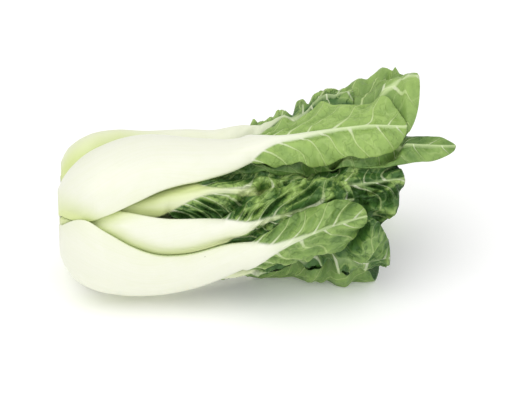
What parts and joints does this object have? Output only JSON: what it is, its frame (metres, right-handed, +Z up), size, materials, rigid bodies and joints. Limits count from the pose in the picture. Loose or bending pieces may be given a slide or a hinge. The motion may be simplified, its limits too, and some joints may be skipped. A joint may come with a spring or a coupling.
{
  "type": "bok choy",
  "caption": "Head of white-stalked bok choy lying on its side: broad overlapping stalks round a short cut core, and crumpled green blades with pale midribs.",
  "frame": {"origin": "on the surface under the head, in the flat spot its belly rests on", "axes": "+X along the head from the cut root end to the leaf tips, +Z up from the surface it lies on, -Y towards the side seen in the picture"},
  "size_m": [0.1678, 0.081, 0.0831],
  "materials": {
    "stalk_white": "smooth satin plant skin, white with a yellow-green tint",
    "leaf_green": "soft satin leaf, green with paler veins",
    "cut_face": "matt cut plant flesh, cream"
  },
  "bodies": {
    "root": {"core": "cut_face", "stalk_near_low": "stalk_white", "blade_near_low": "leaf_green", "stalk_near_high": "stalk_white", "blade_near_high": "leaf_green", "stalk_far_side": "stalk_white", "blade_far_side": "leaf_green", "stalk_top_far": "stalk_white", "blade_top_far": "leaf_green", "stalk_under_far": "stalk_white", "blade_under_far": "leaf_green", "stalk_top_near": "stalk_white", "blade_top_near": "leaf_green", "stalk_inner_near": "stalk_white", "blade_inner_near": "leaf_green", "stalk_inner_far": "stalk_white", "blade_inner_far": "leaf_green", "stalk_inner_top": "stalk_white", "blade_inner_top": "leaf_green", "stalk_inner_low": "stalk_white", "blade_inner_low": "leaf_green", "stalk_heart_near": "stalk_white", "blade_heart_near": "leaf_green", "stalk_heart_far": "stalk_white", "blade_heart_far": "leaf_green", "stalk_heart_mid": "stalk_white", "blade_heart_mid": "leaf_green"}
  },
  "joints": []
}
